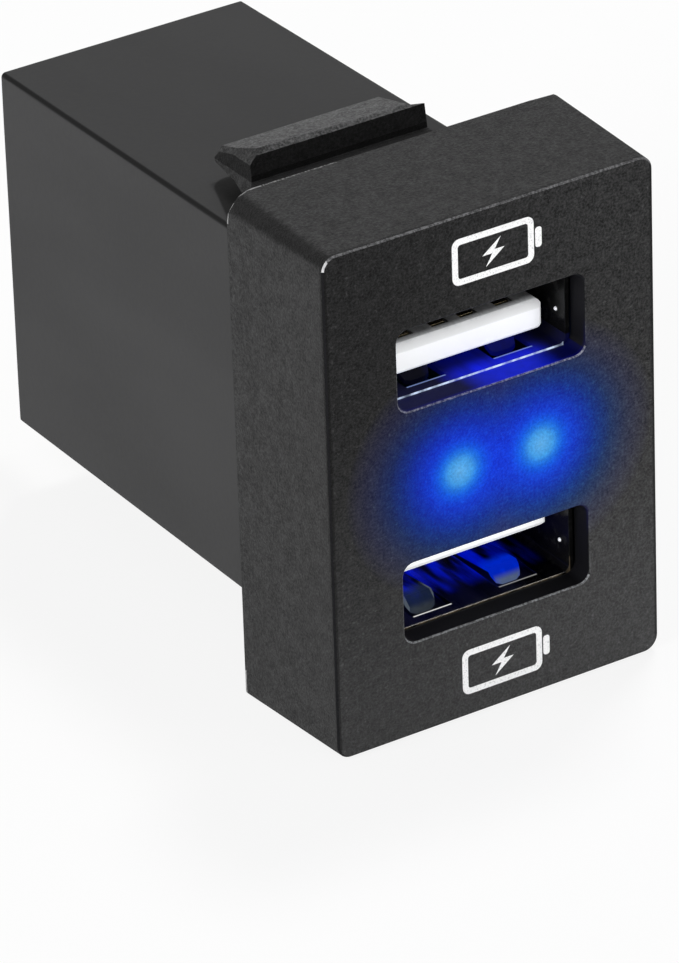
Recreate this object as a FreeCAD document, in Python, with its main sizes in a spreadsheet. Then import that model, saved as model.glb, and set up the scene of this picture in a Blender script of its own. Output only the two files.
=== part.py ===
import FreeCAD, Part
import math
import os
import re

import Sketcher

# Dual USB charging socket that snaps into a switch opening of a car's dashboard.
# Millimetres and degrees. +Z is up and the face looks towards -Y. The origin is the centre of the
# bezel's rear rim, the plane that rests on the panel, so everything at y > 0 is behind the panel.
SIZES = {
    # Bezel: a grained cap with a collar inside that holds the housing
    "bezel_width": 23.0,
    "bezel_height": 33.1,
    "bezel_depth": 10.0,
    "bezel_spread": 0.1,
    "face_corner": 0.95,
    "rim_corner": 1.9,
    "face_break": 0.12,
    "front_wall": 1.55,
    "skirt_wall": 1.5,
    "collar_wall": 1.2,
    "gutter_width": 17.0,
    "gutter_depth": 7.0,
    # Snap latches on the collar, above and below the housing
    "latch_width": 12.4,
    "latch_root": 2.0,
    "panel_grip": 6.05,
    "catch_height": 1.5,
    "catch_lean": 0.25,
    "ridge_step": 0.35,
    "ridge_rise": 0.27,
    "ramp_length": 3.15,
    "ramp_fall": 0.92,
    "nose_round": 0.5,
    "nose_drop": 0.6,
    "nose_rake": 0.15,
    "neck_back": 7.0,
    "neck_lift": 0.5,
    "neck_slope": 0.75,
    "latch_plate": 0.3,
    "latch_cut": 1.0,
    "latch_break": 0.3,
    "ridge_cut": 0.75,
    # Rear housing: a smooth box with draft, closed at the back. It is as large as the ports need.
    "body_width": "=shell_width + 2 * side_room + 2 * body_wall",
    "body_height": "=port_pitch + shell_height + 2 * top_room + 2 * body_wall",
    "side_room": 1.05,
    "top_room": 0.37,
    "body_length": 30.5,
    "body_corner": 0.3,
    "body_draft": 0.4,
    "body_wall": 1.4,
    "rear_wall": 1.6,
    "rear_break": 0.15,
    "spigot_length": 8.2,
    "fit_gap": 0.15,
    "nib_catch": 2.2,
    "nib_length": 2.0,
    "nib_height": 0.45,
    "nib_width": 6.0,
    "nib_gap": 0.15,
    "rib_width": 1.2,
    "long_rib_height": 1.2,
    "long_rib_spread": 19.8,
    "short_rib_height": 2.2,
    "short_rib_spread": 9.0,
    # Openings in the face, and the two receptacles behind them
    "port_pitch": 15.34,
    "slot_width": 13.18,
    "slot_height": 5.3,
    "slot_corner": 0.8,
    "slot_break": 0.1,
    "shell_gap": 0.1,
    "shell_width": 13.1,
    "shell_height": 5.72,
    "shell_length": 14.0,
    "shell_sheet": 0.3,
    "shell_corner": 0.75,
    "window_width": 2.8,
    "window_length": 6.5,
    "window_setback": 0.85,
    "finger_spread": 6.12,
    "finger_width": 2.0,
    "finger_corner": 0.5,
    "finger_gap": 0.85,
    "finger_lip": 0.75,
    "finger_lift": 0.45,
    "finger_curl": 0.65,
    "peg_width": 2.0,
    "peg_reach": 0.6,
    "tongue_width": 11.1,
    "tongue_thickness": 1.84,
    "tongue_setback": 1.3,
    "tongue_drop": 0.06,
    "tongue_bevel": 0.2,
    "tongue_lead_in": 0.45,
    "tongue_corner": 0.3,
    "base_depth": 2.6,
    "base_gap": 0.1,
    "groove_width": 1.2,
    "groove_depth": 0.28,
    "groove_setback": 0.95,
    "contact_inner_pitch": 2.0,
    "contact_outer_pitch": 7.0,
    "contact_width": 1.0,
    "contact_sheet": 0.2,
    "contact_setback": 0.35,
    "tail_width": 0.6,
    "tail_reach": 0.7,
    # Blue lamps on long legs, shining through thinned places in the face
    "lamp_pitch": 5.7,
    "lamp_shift": 0.42,
    "lamp_skin": 0.5,
    "lamp_gap": 0.3,
    "well_gap": 0.25,
    "lamp_radius": 1.45,
    "lamp_length": 5.3,
    "lamp_bevel": 0.5,
    "lamp_rim_radius": 1.9,
    "lamp_rim_length": 1.0,
    "leg_pitch": 2.54,
    "leg_thickness": 0.5,
    "leg_reach": 0.9,
    # Circuit boards
    "board_thickness": 1.6,
    "board_gap": 0.15,
    "board_spacing": 12.75,
    "hole_gap": 0.12,
    # Pins that join the two boards
    "link_pitch": 2.54,
    "link_thickness": 0.64,
    "link_strip": 2.5,
    "link_reach": 1.0,
    # Spade terminals at the back
    "blade_width": 6.3,
    "blade_thickness": 0.8,
    "blade_spread": 7.0,
    "blade_reach": 8.0,
    "blade_bevel_along": 1.2,
    "blade_bevel_across": 0.8,
    "blade_hole_radius": 0.85,
    "blade_hole_setback": 3.6,
    "blade_leg_pitch": 4.0,
    "blade_leg_width": 1.0,
    "blade_leg_reach": 0.8,
    "blade_slot_gap": 0.2,
    # Converter parts on the rear board
    "choke_radius": 3.2,
    "choke_height": 4.6,
    "choke_flange": 0.9,
    "choke_core_radius": 1.5,
    "winding_radius": 2.8,
    "choke_margin": 0.35,
    "input_can_radius": 3.15,
    "input_can_height": 7.0,
    "output_can_radius": 2.5,
    "output_can_height": 5.8,
    "can_margin": 0.6,
    "side_margin": 0.4,
    "can_groove": 0.25,
    "can_groove_up": 1.1,
    "can_base_height": 0.8,
    "can_base_margin": 0.15,
    "chip_length": 4.9,
    "chip_width": 3.9,
    "chip_height": 1.5,
    "chip_standoff": 0.1,
    "chip_margin": 1.15,
    "chip_lead_pitch": 1.27,
    "chip_lead_width": 0.4,
    "chip_lead_sheet": 0.2,
    "chip_lead_span": 6.0,
    "chip_lead_foot": 0.6,
    "diode_width": 2.6,
    "diode_length": 4.3,
    "diode_height": 2.2,
    "diode_margin": 1.6,
    "small_part_length": 2.0,
    "small_part_width": 1.25,
    "small_part_height": 0.6,
    "small_part_pitch": 2.6,
    "filter_margin": 3.75,
    "resistor_up": -4.1,
    "guard_length": 2.9,
    "guard_width": 1.6,
    "guard_height": 1.1,
    "guard_up": 3.9,
}

# Places along Y, as formulas in the sizes
SHELL_FRONT = "(front_wall + shell_gap - bezel_depth)"
SHELL_BACK = f"({SHELL_FRONT} + shell_length)"
BOARD_BACK = f"({SHELL_BACK} + board_thickness)"
POWER_FRONT = f"({BOARD_BACK} + board_spacing)"
POWER_BACK = f"({POWER_FRONT} + board_thickness)"
REAR_INSIDE = "(body_length - rear_wall)"
TONGUE_TIP = f"({SHELL_FRONT} + tongue_setback)"
LAMP_TIP = "(lamp_skin + lamp_gap - bezel_depth)"
LAMP_BACK = f"({LAMP_TIP} + lamp_length)"

# Places across and up: the converter parts are set out from the rear board's edges
BOARD_SIDE = "(body_width / 2 - body_wall - long_rib_height - board_gap)"
BOARD_EDGE = "(body_height / 2 - body_wall - board_gap)"
CHOKE_ACROSS = f"(side_margin + choke_radius - {BOARD_SIDE})"
CAN_ACROSS = {
    "input": f"({BOARD_SIDE} - side_margin - input_can_radius)",
    "output": f"(side_margin + output_can_radius - {BOARD_SIDE})",
}
DIODE_ACROSS = f"({BOARD_SIDE} - 2 * side_margin - diode_width / 2)"
CHOKE_UP = f"({BOARD_EDGE} - choke_margin - choke_radius)"
CAN_UP = f"(can_margin + input_can_radius - {BOARD_EDGE})"
CHIP_UP = f"({BOARD_EDGE} - chip_margin - chip_lead_span / 2)"
DIODE_UP = f"({BOARD_EDGE} - diode_margin - diode_length / 2)"
FILTER_UP = f"(filter_margin + small_part_length / 2 - {BOARD_EDGE})"

document = FreeCAD.newDocument("dual_usb_socket")
sheet = document.addObject("Spreadsheet::Sheet", "sizes")
for row, (alias, size) in enumerate(SIZES.items(), start=1):
    sheet.set(f"A{row}", alias)
    sheet.set(f"B{row}", str(size))
    sheet.setAlias(f"B{row}", alias)
document.recompute()
nodes = []


def formula(words):
    """The sheet's form of a formula: every size name gets the sheet's name before it."""
    return re.sub(r"\b([a-z]+_[a-z_]+)\b", r"sizes.\1", f"0 + {words}")


def bind(thing, **formulas):
    """Bind properties, such as Length or Placement__Base__x, to formulas."""
    for path, words in formulas.items():
        thing.setExpression(path.replace("__", "."), formula(words))


def node(thing, label):
    """Name a finished sub-part and put it on the list of what is written."""
    thing.Label = label
    nodes.append(thing)
    return thing


# Sketches: each lies on an origin plane of its own body, moved along it and away from it


def sketch_on(body, name, plane, across, up, at):
    sketch = body.newObject("Sketcher::SketchObject", name)
    plane_object = next(o for o in body.Origin.OriginFeatures if o.Role == plane)
    sketch.AttachmentSupport = [(plane_object, "")]
    sketch.MapMode = "FlatFace"
    away = f"-({at})" if plane == "XZ_Plane" else at
    bind(
        sketch,
        AttachmentOffset__Base__x=across,
        AttachmentOffset__Base__y=up,
        AttachmentOffset__Base__z=away,
    )
    return sketch


def size_constraint(sketch, name, kind, *places, words):
    index = sketch.addConstraint(Sketcher.Constraint(kind, *places, 1.0))
    sketch.renameConstraint(index, name)
    bind(sketch, **{f"Constraints__{name}": words})


def rectangle(body, name, plane, width, height, across="0", up="0", at="0"):
    """A centred rectangle with sharp corners. It starts as 8 by 8."""
    sketch = sketch_on(body, name, plane, across, up, at)
    corners = [FreeCAD.Vector(x, y, 0) for x, y in ((-4, -4), (4, -4), (4, 4), (-4, 4))]
    for side in range(4):
        sketch.addGeometry(Part.LineSegment(corners[side], corners[(side + 1) % 4]), False)
    for side in range(4):
        sketch.addConstraint(Sketcher.Constraint("Coincident", side, 2, (side + 1) % 4, 1))
        level = "Horizontal" if side % 2 == 0 else "Vertical"
        sketch.addConstraint(Sketcher.Constraint(level, side))
    sketch.addConstraint(Sketcher.Constraint("Symmetric", 0, 1, 2, 1, -1, 1))
    size_constraint(sketch, "width", "DistanceX", 3, 1, 1, 1, words=width)
    size_constraint(sketch, "height", "DistanceY", 0, 1, 2, 1, words=height)
    document.recompute()
    return sketch


def rounded_rectangle(body, name, plane, width, height, corner, across="0", up="0", at="0"):
    """A centred rectangle with rounded corners. It starts as 8 by 8 with 1 mm corners."""
    sketch = sketch_on(body, name, plane, across, up, at)
    near = 3
    far = 4
    sides = [
        ((-near, -far), (near, -far)),
        ((far, -near), (far, near)),
        ((near, far), (-near, far)),
        ((-far, near), (-far, -near)),
    ]
    for start, end in sides:
        line = Part.LineSegment(FreeCAD.Vector(*start, 0), FreeCAD.Vector(*end, 0))
        sketch.addGeometry(line, False)
    quarter = math.pi / 2
    for turn, centre in enumerate([(near, -near), (near, near), (-near, near), (-near, -near)]):
        whole = Part.Circle(FreeCAD.Vector(*centre, 0), FreeCAD.Vector(0, 0, 1), far - near)
        start = (turn - 1) * quarter
        sketch.addGeometry(Part.ArcOfCircle(whole, start, start + quarter), False)
    for side in range(4):
        arc = 4 + side
        sketch.addConstraint(Sketcher.Constraint("Tangent", side, 2, arc, 1))
        sketch.addConstraint(Sketcher.Constraint("Tangent", arc, 2, (side + 1) % 4, 1))
        level = "Horizontal" if side % 2 == 0 else "Vertical"
        sketch.addConstraint(Sketcher.Constraint(level, side))
    for arc in (4, 5, 6):
        sketch.addConstraint(Sketcher.Constraint("Equal", arc, arc + 1))
    sketch.addConstraint(Sketcher.Constraint("Symmetric", 0, 1, 2, 1, -1, 1))
    size_constraint(sketch, "corner", "Radius", 4, words=corner)
    size_constraint(sketch, "width", "DistanceX", 3, 1, 1, 1, words=width)
    size_constraint(sketch, "height", "DistanceY", 0, 1, 2, 1, words=height)
    document.recompute()
    return sketch


def polygon(body, name, plane, points, at="0"):
    """A closed outline through points, each a pair of formulas. It starts as points on a circle."""
    sketch = sketch_on(body, name, plane, "0", "0", at)
    count = len(points)
    turn = FreeCAD.Rotation(FreeCAD.Vector(0, 0, 1), 360 / count)
    starts = [FreeCAD.Vector(1, 0, 0)]
    for _ in range(count - 1):
        starts.append(turn.multVec(starts[-1]))
    for i in range(count):
        sketch.addGeometry(Part.LineSegment(starts[i], starts[(i + 1) % count]), False)
    for i, (first, second) in enumerate(points):
        sketch.addConstraint(Sketcher.Constraint("Coincident", i, 2, (i + 1) % count, 1))
        size_constraint(sketch, f"first{i}", "DistanceX", -1, 1, i, 1, words=first)
        size_constraint(sketch, f"second{i}", "DistanceY", -1, 1, i, 1, words=second)
    document.recompute()
    return sketch


def circle(body, name, plane, radius, across="0", up="0", at="0"):
    sketch = sketch_on(body, name, plane, across, up, at)
    round_edge = Part.Circle(FreeCAD.Vector(0, 0, 0), FreeCAD.Vector(0, 0, 1), 1)
    sketch.addGeometry(round_edge, False)
    sketch.addConstraint(Sketcher.Constraint("Coincident", 0, 3, -1, 1))
    size_constraint(sketch, "radius", "Radius", 0, words=radius)
    document.recompute()
    return sketch


# Features: outlines on the XZ plane are pushed to the front (-Y) or to the back (+Y), and
# outlines on the other planes go half to each side


def extrude(body, kind, sketch, length, towards):
    before = 0 if body.Shape.isNull() else body.Shape.Volume
    feature = body.newObject(f"PartDesign::{kind}", f"{sketch.Name}_{kind.lower()}")
    feature.Profile = sketch
    bind(feature, Length=length)
    if towards == "both":
        feature.Midplane = True
    else:
        feature.Reversed = (towards == "back") == (kind == "Pad")
    document.recompute()
    change = body.Shape.Volume - before
    if (kind == "Pocket") != (change < 0):
        raise RuntimeError(f"{body.Name}: {feature.Name} changed the volume by {change:.3f}")
    return feature


def pad(body, sketch, length, towards="both"):
    return extrude(body, "Pad", sketch, length, towards)


def pocket(body, sketch, length, towards="both"):
    return extrude(body, "Pocket", sketch, length, towards)


def dress(body, kind, test, **formulas):
    """Fillet or Chamfer the edges of the body's newest solid that pass the test."""
    base = body.Tip
    names = [f"Edge{i}" for i, edge in enumerate(base.Shape.Edges, start=1) if test(edge)]
    feature = body.newObject(f"PartDesign::{kind}", f"{body.Name}_{kind.lower()}")
    feature.Base = (base, names)
    bind(feature, **formulas)
    document.recompute()
    return feature


def mirror(body, feature, plane):
    """Repeat a feature on the other side of one of the body's origin planes."""
    copy = body.newObject("PartDesign::Mirrored", f"{feature.Name}_mirrored")
    copy.Originals = [feature]
    plane_object = next(o for o in body.Origin.OriginFeatures if o.Role == plane)
    copy.MirrorPlane = (plane_object, [""])
    body.Tip = copy
    document.recompute()
    return copy


def box_of(edge):
    return edge.BoundBox


# Plain solids for circuit parts, all set out from a place along Y


def block(name, width, depth, height, across, at, up):
    """A box centred on across and up, running back from the place at."""
    thing = document.addObject("Part::Box", name)
    bind(
        thing,
        Length=width,
        Width=depth,
        Height=height,
        Placement__Base__x=f"{across} - ({width}) / 2",
        Placement__Base__y=at,
        Placement__Base__z=f"{up} - ({height}) / 2",
    )
    return thing


def rod(name, radius, length, across, at, up):
    """A cylinder along Y, running back from the place at."""
    thing = document.addObject("Part::Cylinder", name)
    lie_along_y = FreeCAD.Rotation(FreeCAD.Vector(1, 0, 0), -90)
    thing.Placement = FreeCAD.Placement(FreeCAD.Vector(0, 0, 0), lie_along_y)
    bind(
        thing,
        Radius=radius,
        Height=length,
        Placement__Base__x=across,
        Placement__Base__y=at,
        Placement__Base__z=up,
    )
    return thing


def joined(name, things):
    fuse = document.addObject("Part::MultiFuse", name)
    fuse.Shapes = things
    fuse.Refine = True
    return fuse


def group(name, things):
    """Separate solids that are one kind of piece."""
    compound = document.addObject("Part::Compound", name)
    compound.Links = things
    return compound


def less(name, base, tool):
    cut = document.addObject("Part::Cut", name)
    cut.Base = base
    cut.Tool = tool
    return cut


PORTS = {"upper": "1", "lower": "-1"}
LAMPS = {
    "left": "(lamp_shift - lamp_pitch / 2)",
    "right": "(lamp_shift + lamp_pitch / 2)",
}
CONTACT_PLACES = [
    "-contact_outer_pitch / 2",
    "-contact_inner_pitch / 2",
    "contact_inner_pitch / 2",
    "contact_outer_pitch / 2",
]
LINK_PLACES = ["-link_pitch", "0", "link_pitch"]


def port_up(side):
    return f"({side} * port_pitch / 2)"


def make_bezel():
    """The cap with its collar, light wells and two snap latches, moulded in one."""
    body = document.addObject("PartDesign::Body", "front_bezel")
    rim_width = "bezel_width + 2 * bezel_spread"
    rim_height = "bezel_height + 2 * bezel_spread"
    rim = rounded_rectangle(body, "rim", "XZ_Plane", rim_width, rim_height, "rim_corner")
    # A narrow band breaks the face's edge: inset and setback of its two outlines
    outlines = []
    for number, (inset, setback) in enumerate([("0", "face_break"), ("face_break", "0")], start=1):
        outline = rounded_rectangle(
            body,
            f"face_outline_{number}",
            "XZ_Plane",
            f"bezel_width - 2 * {inset}",
            f"bezel_height - 2 * {inset}",
            f"face_corner - {inset}",
            at=f"{setback} - bezel_depth",
        )
        outlines.append(outline)
    cap = body.newObject("PartDesign::AdditiveLoft", "cap")
    cap.Profile = rim
    cap.Sections = outlines
    cap.Ruled = True
    document.recompute()

    collar_width = "(body_width + 2 * fit_gap)"
    collar_height = "(body_height + 2 * fit_gap)"
    room = rectangle(body, "room", "XZ_Plane", collar_width, collar_height)
    pocket(body, room, "bezel_depth - front_wall", "front")
    gutter_height = f"((bezel_height - {collar_height}) / 2 - skirt_wall - collar_wall)"
    gutter_up = f"({collar_height} / 2 + collar_wall + {gutter_height} / 2)"
    gutter = rectangle(body, "gutter", "XZ_Plane", "gutter_width", gutter_height, up=gutter_up)
    mirror(body, pocket(body, gutter, "gutter_depth", "front"), "XY_Plane")
    slot = rounded_rectangle(
        body,
        "slot",
        "XZ_Plane",
        "slot_width",
        "slot_height",
        "slot_corner",
        up=port_up("1"),
        at="-bezel_depth",
    )
    mirror(body, pocket(body, slot, "bezel_depth", "back"), "XY_Plane")
    face = -float(sheet.bezel_depth)
    slot_reach = float(sheet.slot_width) / 2 + 0.01

    def is_slot_edge(edge):
        box = box_of(edge)
        return box.YMax < face + 0.01 and max(-box.XMin, box.XMax) < slot_reach

    dress(body, "Chamfer", is_slot_edge, Size="slot_break")
    for side, across in LAMPS.items():
        well = circle(
            body,
            f"{side}_well",
            "XZ_Plane",
            "lamp_radius + well_gap",
            across=across,
            at="front_wall - bezel_depth",
        )
        pocket(body, well, "front_wall - lamp_skin", "front")

    # Recesses in the collar for the housing's nibs
    recess = polygon(
        body,
        "nib_recess",
        "XY_Plane",
        [
            (f"{collar_width} / 2 - nib_gap", "nib_gap - nib_catch"),
            (f"{collar_width} / 2 + nib_height", "nib_gap - nib_catch"),
            (f"{collar_width} / 2 + nib_height", "-nib_catch - nib_length - nib_gap"),
            (f"{collar_width} / 2 - nib_gap", "-nib_catch - nib_length - nib_gap"),
        ],
    )
    mirror(body, pocket(body, recess, "nib_width + 2 * nib_gap"), "YZ_Plane")

    # A latch: arm, upright catch, ridge, ramp and rounded nose, drawn from the side
    arm_low = f"({collar_height} / 2)"
    arm_high = f"({arm_low} + collar_wall)"
    catch_top = f"({arm_high} + catch_height)"
    ridge_back = "(panel_grip + ridge_step)"
    ramp_back = f"({ridge_back} + ramp_length)"
    ramp_end = f"({catch_top} + ridge_rise - ramp_fall)"
    nose_back = f"({ramp_back} + nose_round)"
    profile = polygon(
        body,
        "latch",
        "YZ_Plane",
        [
            ("-latch_root", arm_low),
            ("neck_back", arm_low),
            ("neck_back + neck_slope", f"{arm_low} + neck_lift"),
            (f"{nose_back} - nose_rake", f"{ramp_end} - nose_round - nose_drop"),
            (nose_back, f"{ramp_end} - nose_round"),
            (ramp_back, ramp_end),
            (ridge_back, f"{catch_top} + ridge_rise"),
            ("panel_grip", catch_top),
            ("panel_grip - catch_lean", arm_high),
            ("-latch_root", arm_high),
        ],
    )
    mirror(body, pad(body, profile, "latch_width"), "XY_Plane")
    # At its right end only a thin plate of the catch is left, and its left end is bevelled
    trim = polygon(
        body,
        "latch_trim",
        "XY_Plane",
        [
            ("latch_width / 2 + latch_cut", "panel_grip + latch_plate"),
            ("latch_width / 2 + latch_cut", f"{nose_back} + latch_cut"),
            ("latch_width / 2 - latch_cut", f"{nose_back} + latch_cut"),
            ("latch_width / 2 - latch_cut", "panel_grip + latch_plate"),
        ],
    )
    pocket(body, trim, "2 * bezel_height")
    grip = float(sheet.panel_grip)
    left_end = -float(sheet.latch_width) / 2
    arm_top = float(sheet.body_height) / 2 + float(sheet.fit_gap) + float(sheet.collar_wall)

    def is_left_edge(edge):
        box = box_of(edge)
        outside = max(abs(box.ZMin), abs(box.ZMax)) > arm_top + 0.5
        return box.YMin > grip - 0.01 and outside and box.XMax < left_end + 0.01

    dress(body, "Chamfer", is_left_edge, Size="latch_break")
    ridge_top = f"({catch_top} + ridge_rise)"
    ridge_corner = polygon(
        body,
        "ridge_corner",
        "XZ_Plane",
        [
            ("-latch_width / 2 - ridge_cut", f"{ridge_top} - 2 * ridge_cut"),
            ("2 * ridge_cut - latch_width / 2", f"{ridge_top} + ridge_cut"),
            ("-latch_width / 2 - ridge_cut", f"{ridge_top} + ridge_cut"),
        ],
        at="panel_grip - 2 * catch_lean",
    )
    mirror(body, pocket(body, ridge_corner, "2 * ramp_length", "back"), "XY_Plane")
    return node(body, "front_bezel")


def make_housing():
    """The box behind the panel: spigot, drafted walls, board ribs and blade slots."""
    body = document.addObject("PartDesign::Body", "rear_housing")
    outline = rectangle(body, "outline", "XZ_Plane", "body_width", "body_height")
    shell = pad(body, outline, "body_length", "back")
    bind(shell, TaperAngle="-body_draft")
    document.recompute()
    rear = body.Shape.BoundBox.YMax
    dress(body, "Fillet", lambda e: box_of(e).YLength > rear / 2, Radius="body_corner")
    dress(body, "Chamfer", lambda e: box_of(e).YMin > rear - 1e-4, Size="rear_break")
    spigot = rounded_rectangle(body, "spigot", "XZ_Plane", "body_width", "body_height", "body_corner")
    pad(body, spigot, "spigot_length", "front")

    room_width = "(body_width - 2 * body_wall)"
    room_height = "(body_height - 2 * body_wall)"
    room = rectangle(body, "room", "XZ_Plane", room_width, room_height, at="-spigot_length")
    pocket(body, room, "spigot_length + body_length - rear_wall", "back")

    # Long ribs carry the front board, and short ribs carry the rear board
    ribs = {
        "long": ("long_rib_height", "long_rib_spread", BOARD_BACK),
        "short": ("short_rib_height", "short_rib_spread", POWER_BACK),
    }
    for name, (height, spread, top) in ribs.items():
        for up_name, up_side in PORTS.items():
            for across_name, across_side in (("left", "-1"), ("right", "1")):
                outline = rectangle(
                    body,
                    f"{name}_rib_{up_name}_{across_name}",
                    "XZ_Plane",
                    f"{height} + body_wall / 2",
                    "rib_width",
                    across=f"{across_side} * ({room_width} / 2 - {height} / 2 + body_wall / 4)",
                    up=f"{up_side} * {spread} / 2",
                    at=REAR_INSIDE,
                )
                pad(body, outline, f"{REAR_INSIDE} - {top}", "front")

    for side in ("-1", "1"):
        name = "left_blade_slot" if side == "-1" else "right_blade_slot"
        slot = rectangle(
            body,
            name,
            "XZ_Plane",
            "blade_thickness + 2 * blade_slot_gap",
            "blade_width + 2 * blade_slot_gap",
            across=f"{side} * blade_spread / 2",
            at=REAR_INSIDE,
        )
        pocket(body, slot, "2 * rear_wall", "back")

    nib = polygon(
        body,
        "nib",
        "XY_Plane",
        [
            ("body_width / 2 - nib_height", "-nib_catch"),
            ("body_width / 2 + nib_height", "-nib_catch"),
            ("body_width / 2", "-nib_catch - nib_length"),
            ("body_width / 2 - nib_height", "-nib_catch - nib_length"),
        ],
    )
    mirror(body, pad(body, nib, "nib_width"), "YZ_Plane")
    return node(body, "rear_housing")


def make_shell(name, side):
    """A receptacle's folded sheet shell, with four spring fingers and two solder pegs."""
    body = document.addObject("PartDesign::Body", f"{name}_port_shell")
    up = port_up(side)
    outside = rounded_rectangle(
        body, "outside", "XZ_Plane", "shell_width", "shell_height", "shell_corner", up=up, at=SHELL_FRONT
    )
    pad(body, outside, "shell_length", "back")
    inside = rounded_rectangle(
        body,
        "inside",
        "XZ_Plane",
        "shell_width - 2 * shell_sheet",
        "shell_height - 2 * shell_sheet",
        "shell_corner - shell_sheet",
        up=up,
        at=SHELL_FRONT,
    )
    pocket(body, inside, "shell_length", "back")
    window_front = f"({SHELL_FRONT} + window_setback)"
    tip = f"({window_front} + finger_gap)"
    for across_name, across in (("left", "-finger_spread / 2"), ("right", "finger_spread / 2")):
        window = rectangle(
            body,
            f"{across_name}_window",
            "XY_Plane",
            "window_width",
            "window_length",
            across=across,
            up=f"{window_front} + window_length / 2",
            at=up,
        )
        pocket(body, window, "2 * shell_height")
        for wall_name, wall in (("floor", "-1"), ("roof", "1")):
            outer = f"({up} + {wall} * shell_height / 2)"
            inner = f"({up} + {wall} * (shell_height / 2 - shell_sheet))"
            root = f"({window_front} + window_length + shell_sheet)"
            lift = f"{wall} * finger_lift"
            curl = f"{wall} * (finger_lift - finger_curl)"
            finger = polygon(
                body,
                f"{across_name}_{wall_name}_finger",
                "YZ_Plane",
                [
                    (root, outer),
                    (f"{root} - shell_sheet", outer),
                    (f"{tip} + finger_lip", f"{outer} - {lift}"),
                    (tip, f"{outer} - {curl}"),
                    (tip, f"{inner} - {curl}"),
                    (f"{tip} + finger_lip", f"{inner} - {lift}"),
                    (f"{root} - shell_sheet", inner),
                    (root, inner),
                ],
                at=across,
            )
            pad(body, finger, "finger_width")
        # The fingers' tips are round: two cuts along the chords of each corner
        bow = "finger_corner * (1 - cos(45))"
        for corner_name, edge in (("left", "1"), ("right", "-1")):
            beside = f"{across} - {edge} * finger_width / 2"
            corner = polygon(
                body,
                f"{across_name}_finger_{corner_name}_corner",
                "XY_Plane",
                [
                    (f"{beside} + {edge} * (1.5 * finger_corner - {bow} / 2)", f"{tip} - {bow} / 2"),
                    (f"{beside} + {edge} * {bow}", f"{tip} + {bow}"),
                    (f"{beside} - {edge} * {bow} / 2", f"{tip} + 1.5 * finger_corner - {bow} / 2"),
                    (f"{beside} - {edge} * {bow} / 2", f"{tip} - {bow} / 2"),
                ],
                at=up,
            )
            pocket(body, corner, "2 * shell_height")
    for across_name, across_side in (("left", "-1"), ("right", "1")):
        peg = rectangle(
            body,
            f"{across_name}_peg",
            "XZ_Plane",
            "shell_sheet",
            "peg_width",
            across=f"{across_side} * (shell_width - shell_sheet) / 2",
            up=up,
            at=f"{SHELL_BACK} - shell_sheet",
        )
        pad(body, peg, "shell_sheet + board_thickness + peg_reach", "back")
    return node(body, f"{name}_port_shell")


def make_tongue(name, side):
    """The white insulator: a base that closes the shell's back, and the grooved tongue."""
    body = document.addObject("PartDesign::Body", f"{name}_port_tongue")
    base = rounded_rectangle(
        body,
        "base",
        "XZ_Plane",
        "shell_width - 2 * shell_sheet - 2 * base_gap",
        "shell_height - 2 * shell_sheet - 2 * base_gap",
        "shell_corner - shell_sheet",
        up=port_up(side),
        at=SHELL_BACK,
    )
    pad(body, base, "base_depth", "front")
    tongue_up = f"{side} * (port_pitch / 2 - tongue_drop - tongue_thickness / 2)"
    tongue = rounded_rectangle(
        body,
        "tongue",
        "XZ_Plane",
        "tongue_width",
        "tongue_thickness",
        "tongue_corner",
        up=tongue_up,
        at=SHELL_BACK,
    )
    pad(body, tongue, f"{SHELL_BACK} - {TONGUE_TIP}", "front")
    tip = body.Shape.BoundBox.YMin
    dress(body, "Chamfer", lambda e: box_of(e).YMax < tip + 1e-4, Size="tongue_bevel")
    # A larger bevel leads a plug in over the contacts
    contact_face = f"({side} * (port_pitch / 2 - tongue_drop))"
    above = f"({contact_face} + {side} * tongue_lead_in)"
    lead_in = polygon(
        body,
        "lead_in",
        "YZ_Plane",
        [
            (f"{TONGUE_TIP} - tongue_lead_in", f"{contact_face} - 2 * {side} * tongue_lead_in"),
            (f"{TONGUE_TIP} + 2 * tongue_lead_in", above),
            (f"{TONGUE_TIP} - tongue_lead_in", above),
        ],
    )
    pocket(body, lead_in, "2 * tongue_width")
    for number, across in enumerate(CONTACT_PLACES, start=1):
        groove = rectangle(
            body,
            f"groove_{number}",
            "XZ_Plane",
            "groove_width",
            "2 * groove_depth",
            across=across,
            up=contact_face,
            at=f"{TONGUE_TIP} + groove_setback",
        )
        pocket(body, groove, f"{SHELL_BACK} - {TONGUE_TIP}", "back")
    return node(body, f"{name}_port_tongue")


def make_contacts(name, side):
    """Four contact strips lying in the tongue's grooves, with tails through the board."""
    start = f"({TONGUE_TIP} + groove_setback + contact_setback)"
    up = f"{side} * (port_pitch / 2 - tongue_drop - groove_depth + contact_sheet / 2)"
    contacts = []
    for number, across in enumerate(CONTACT_PLACES, start=1):
        label = f"{name}_contact_{number}"
        strip = block(
            f"{label}_strip", "contact_width", f"{SHELL_BACK} - {start}", "contact_sheet", across, start, up
        )
        tail_length = "board_thickness + tail_reach"
        tail = block(
            f"{label}_tail", "tail_width", tail_length, "contact_sheet", across, SHELL_BACK, up
        )
        contacts.append(joined(label, [strip, tail]))
    return node(group(f"{name}_contacts", contacts), f"{name}_port_contacts")


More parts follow.
